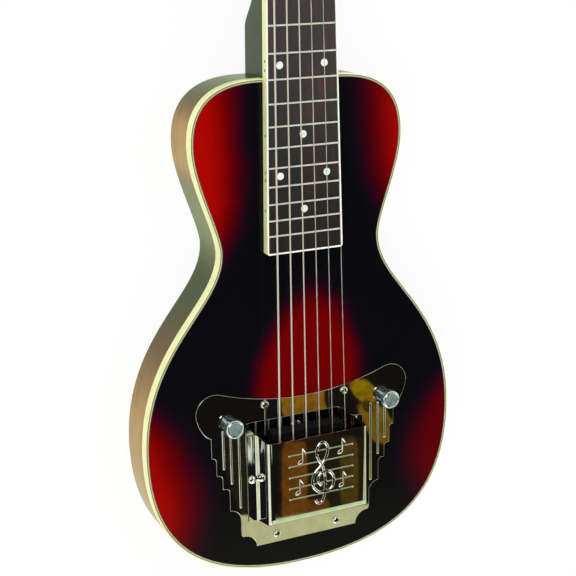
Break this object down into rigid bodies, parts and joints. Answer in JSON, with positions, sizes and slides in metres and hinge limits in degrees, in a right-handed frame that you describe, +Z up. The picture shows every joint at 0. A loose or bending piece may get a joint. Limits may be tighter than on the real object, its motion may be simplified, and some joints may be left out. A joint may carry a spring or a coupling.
{
  "type": "lap steel guitar",
  "caption": "Small waisted solid lap steel guitar with a bound sunburst top, a metal base plate and pickup cover, two round knobs, a bound fretboard and a head with open-gear tuners.",
  "frame": {"origin": "middle of the guitar's box on the surface it lies on, at its flat back", "axes": "+Z up out of the face, +Y along the strings towards the head, +X towards the treble side"},
  "size_m": [0.2424, 0.7972, 0.064],
  "materials": {
    "burst_lacquer": "dark red to black sunburst under clear gloss lacquer, amber sides",
    "cream_binding": "polished cream binding",
    "black_lacquer": "black gloss lacquer",
    "rosewood": "oiled dark rosewood with nickel fret wires",
    "bone": "polished bone colour",
    "bright_chrome": "bright chrome sheet",
    "knob_chrome": "bright chrome, turned",
    "nickel": "nickel plated",
    "steel_parts": "plain steel",
    "shaft_brass": "turned brass",
    "string_plain": "plain steel wire",
    "string_wound": "nickel wound wire",
    "black_fibre": "black fibre sheet",
    "copper_wire": "enamelled copper wire",
    "capacitor_film": "brown dipped film",
    "button_plastic": "aged cream plastic"
  },
  "bodies": {
    "guitar_body": {"body": "burst_lacquer", "body_binding": "cream_binding", "neck": "black_lacquer", "fretboard": "rosewood", "fretboard_binding": "cream_binding", "nut": "bone", "base_plate": "bright_chrome", "plate_screw_1": "nickel", "plate_screw_2": "nickel", "plate_screw_3": "nickel", "plate_screw_4": "nickel", "pickup_cover": "bright_chrome", "cover_screw_bass": "nickel", "cover_screw_treble": "nickel", "pickup_bobbin": "black_fibre", "pickup_coil": "copper_wire", "pickup_blade": "steel_parts", "pickup_magnet_tail": "steel_parts", "pickup_magnet_neck": "steel_parts", "bridge": "nickel", "string_anchor": "nickel", "volume_pot": "steel_parts", "volume_pot_nut": "nickel", "tone_pot": "steel_parts", "tone_pot_nut": "nickel", "tone_capacitor": "capacitor_film", "output_jack": "nickel", "jack_plate": "bright_chrome", "jack_nut": "nickel", "tuner_plate_bass": "nickel", "tuner_plate_treble": "nickel", "string_1": "string_wound", "string_2": "string_wound", "string_3": "string_wound", "string_4": "string_plain", "string_5": "string_plain", "string_6": "string_plain"},
    "volume_control": {"volume_knob": "knob_chrome", "volume_pot_shaft": "shaft_brass"},
    "tone_control": {"tone_knob": "knob_chrome", "tone_pot_shaft": "shaft_brass"},
    "worm_1": {"tuner_worm_1": "nickel", "tuner_button_1": "button_plastic"},
    "post_1": {"tuner_post_1": "nickel"},
    "worm_2": {"tuner_worm_2": "nickel", "tuner_button_2": "button_plastic"},
    "post_2": {"tuner_post_2": "nickel"},
    "worm_3": {"tuner_worm_3": "nickel", "tuner_button_3": "button_plastic"},
    "post_3": {"tuner_post_3": "nickel"},
    "worm_4": {"tuner_worm_4": "nickel", "tuner_button_4": "button_plastic"},
    "post_4": {"tuner_post_4": "nickel"},
    "worm_5": {"tuner_worm_5": "nickel", "tuner_button_5": "button_plastic"},
    "post_5": {"tuner_post_5": "nickel"},
    "worm_6": {"tuner_worm_6": "nickel", "tuner_button_6": "button_plastic"},
    "post_6": {"tuner_post_6": "nickel"}
  },
  "joints": [
    {"name": "volume_turn", "type": "hinge", "parent": "guitar_body", "child": "volume_control", "pos_m": [-0.0615, -0.27075, 0.05], "axis": [0, 0, -1], "range_deg": [0, 300]},
    {"name": "tone_turn", "type": "hinge", "parent": "guitar_body", "child": "tone_control", "pos_m": [0.0615, -0.27075, 0.05], "axis": [0, 0, -1], "range_deg": [0, 300]},
    {"name": "button_turn_1", "type": "hinge", "parent": "guitar_body", "child": "worm_1", "pos_m": [-0.018, 0.2969, 0.01355], "axis": [-1, 0, 0], "continuous": true},
    {"name": "post_turn_1", "type": "hinge", "parent": "guitar_body", "child": "post_1", "pos_m": [-0.018, 0.28755, 0.0152], "axis": [0, 0, 1], "continuous": true},
    {"name": "button_turn_2", "type": "hinge", "parent": "guitar_body", "child": "worm_2", "pos_m": [-0.018, 0.3329, 0.01355], "axis": [-1, 0, 0], "continuous": true},
    {"name": "post_turn_2", "type": "hinge", "parent": "guitar_body", "child": "post_2", "pos_m": [-0.018, 0.32355, 0.0152], "axis": [0, 0, 1], "continuous": true},
    {"name": "button_turn_3", "type": "hinge", "parent": "guitar_body", "child": "worm_3", "pos_m": [-0.018, 0.3689, 0.01355], "axis": [-1, 0, 0], "continuous": true},
    {"name": "post_turn_3", "type": "hinge", "parent": "guitar_body", "child": "post_3", "pos_m": [-0.018, 0.35955, 0.0152], "axis": [0, 0, 1], "continuous": true},
    {"name": "button_turn_4", "type": "hinge", "parent": "guitar_body", "child": "worm_4", "pos_m": [0.018, 0.3689, 0.01355], "axis": [1, 0, 0], "continuous": true},
    {"name": "post_turn_4", "type": "hinge", "parent": "guitar_body", "child": "post_4", "pos_m": [0.018, 0.35955, 0.0152], "axis": [0, 0, 1], "continuous": true},
    {"name": "button_turn_5", "type": "hinge", "parent": "guitar_body", "child": "worm_5", "pos_m": [0.018, 0.3329, 0.01355], "axis": [1, 0, 0], "continuous": true},
    {"name": "post_turn_5", "type": "hinge", "parent": "guitar_body", "child": "post_5", "pos_m": [0.018, 0.32355, 0.0152], "axis": [0, 0, 1], "continuous": true},
    {"name": "button_turn_6", "type": "hinge", "parent": "guitar_body", "child": "worm_6", "pos_m": [0.018, 0.2969, 0.01355], "axis": [1, 0, 0], "continuous": true},
    {"name": "post_turn_6", "type": "hinge", "parent": "guitar_body", "child": "post_6", "pos_m": [0.018, 0.28755, 0.0152], "axis": [0, 0, 1], "continuous": true}
  ],
  "couplings": [
    {"joint": "post_turn_1", "follows": "button_turn_1", "ratio": -0.083333},
    {"joint": "post_turn_2", "follows": "button_turn_2", "ratio": -0.083333},
    {"joint": "post_turn_3", "follows": "button_turn_3", "ratio": -0.083333},
    {"joint": "post_turn_4", "follows": "button_turn_4", "ratio": 0.083333},
    {"joint": "post_turn_5", "follows": "button_turn_5", "ratio": 0.083333},
    {"joint": "post_turn_6", "follows": "button_turn_6", "ratio": 0.083333}
  ]
}
